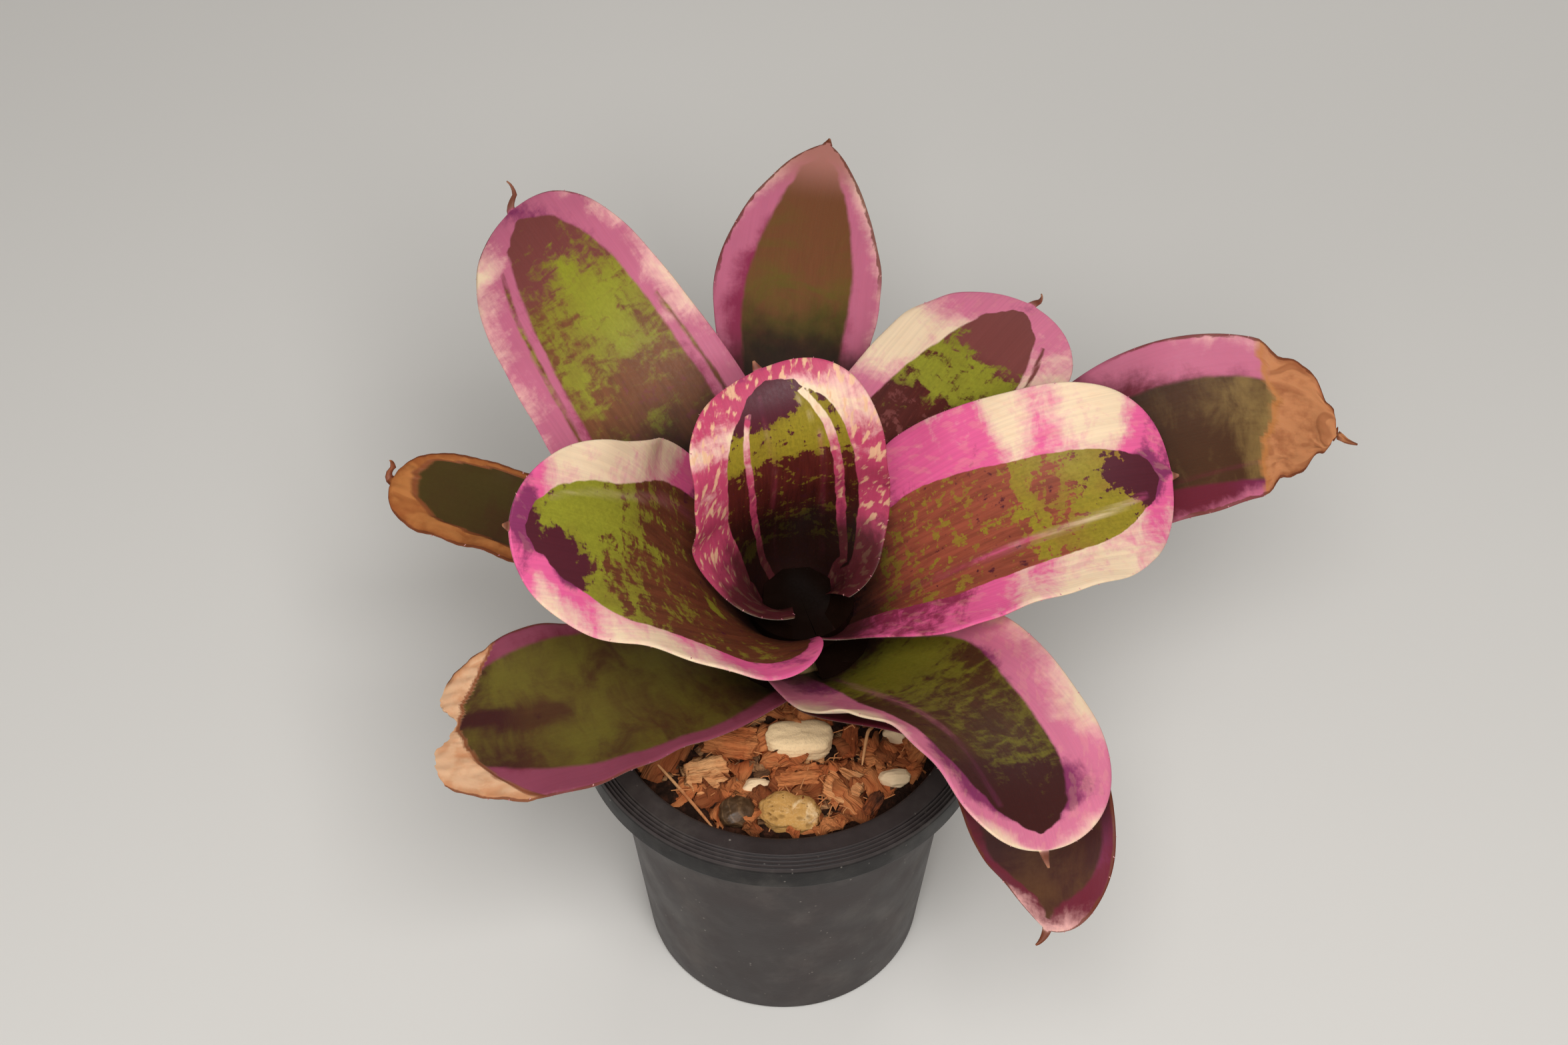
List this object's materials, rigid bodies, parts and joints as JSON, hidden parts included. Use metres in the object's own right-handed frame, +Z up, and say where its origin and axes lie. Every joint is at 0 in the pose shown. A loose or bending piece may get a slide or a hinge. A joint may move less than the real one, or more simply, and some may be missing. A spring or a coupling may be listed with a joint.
{
  "type": "potted bromeliad",
  "caption": "Bromeliad with broad strap leaves banded in green, wine and pink round a water-holding cup, in a round black nursery pot of husk mix and stones.",
  "frame": {"origin": "middle of the flat foot of the pot", "axes": "+Z up through the pot, -Y towards the plant's front, +X to its right as seen from the front"},
  "size_m": [0.2377, 0.221, 0.1802],
  "materials": {
    "pot": "satin",
    "mix": "matte",
    "husk": "matte",
    "stone": "matte",
    "pebble": "satin",
    "stem": "matte",
    "leaf": "satin",
    "water": "gloss"
  },
  "bodies": {
    "root": {"pot": "pot", "potting_mix": "mix", "stem": "stem", "pebble_striped": "pebble", "fibre_needle": "husk", "fibre_curled": "husk", "water_cup": "water", "water_axil_right": "water", "water_axil_left": "water", "stone_cream": "stone", "stone_pitted": "stone", "stone_white_left": "stone", "stone_white_right": "stone", "stone_white_front": "stone", "husk_tan": "husk", "husk_fibrous_mass": "husk", "husk_fibrous_strip": "husk", "husk_red": "husk", "husk_three_lobed": "husk", "husk_right_small": "husk", "husk_right_large": "husk", "husk_dark": "husk", "leaf_centre": "leaf", "leaf_right": "leaf", "leaf_left": "leaf", "leaf_rear_upright": "leaf", "leaf_rear_left_tall": "leaf", "leaf_front_right": "leaf", "leaf_front_left": "leaf", "leaf_rear_pointed": "leaf", "leaf_far_right": "leaf", "leaf_far_left": "leaf", "leaf_lowest": "leaf"}
  },
  "joints": []
}
